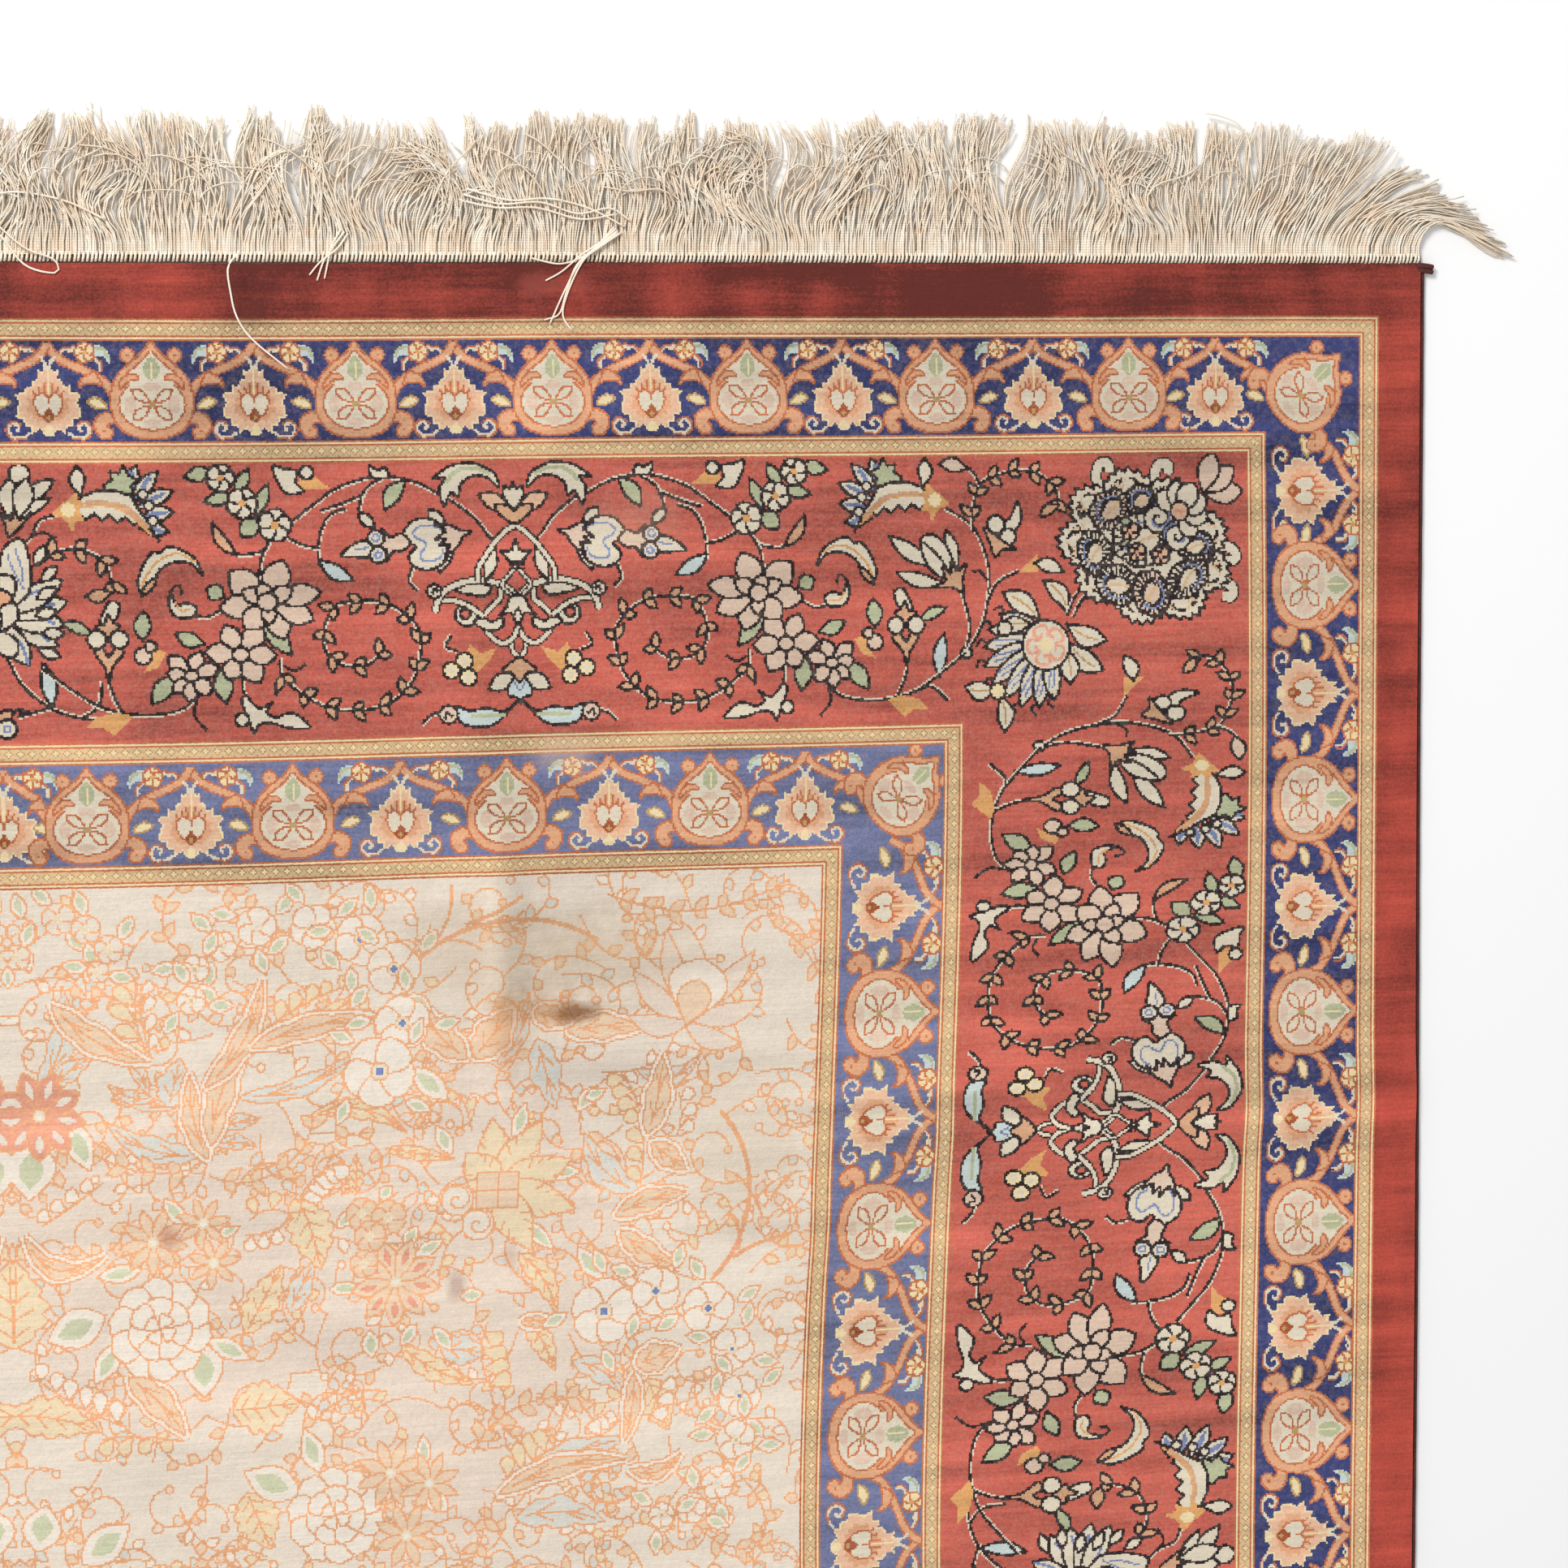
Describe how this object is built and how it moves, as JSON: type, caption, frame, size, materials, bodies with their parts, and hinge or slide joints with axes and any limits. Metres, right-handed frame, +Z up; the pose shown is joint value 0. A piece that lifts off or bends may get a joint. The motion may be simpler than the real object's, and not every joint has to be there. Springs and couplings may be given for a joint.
{
  "type": "persian rug",
  "caption": "Flat rectangular hand-knotted rug with a silk pile, overcast long sides and a fringe of loose warp ends at both ends.",
  "frame": {"origin": "middle of the rug's underside, on the floor", "axes": "+X across the rug, +Y along it towards the head fringe, +Z up out of the pile"},
  "size_m": [1.6988, 2.728, 0.0078],
  "materials": {
    "pile": "cut silk pile in many dyed colours, knot by knot",
    "overcast": "dark brown-red yarn wound round the edge warps",
    "fringe_silk": "undyed cream silk warps, loose and slightly twisted"
  },
  "bodies": {
    "root": {"knotted_cloth": "pile", "selvedge_right": "overcast", "selvedge_left": "overcast", "fringe_head": "fringe_silk", "fringe_foot": "fringe_silk"}
  },
  "joints": []
}
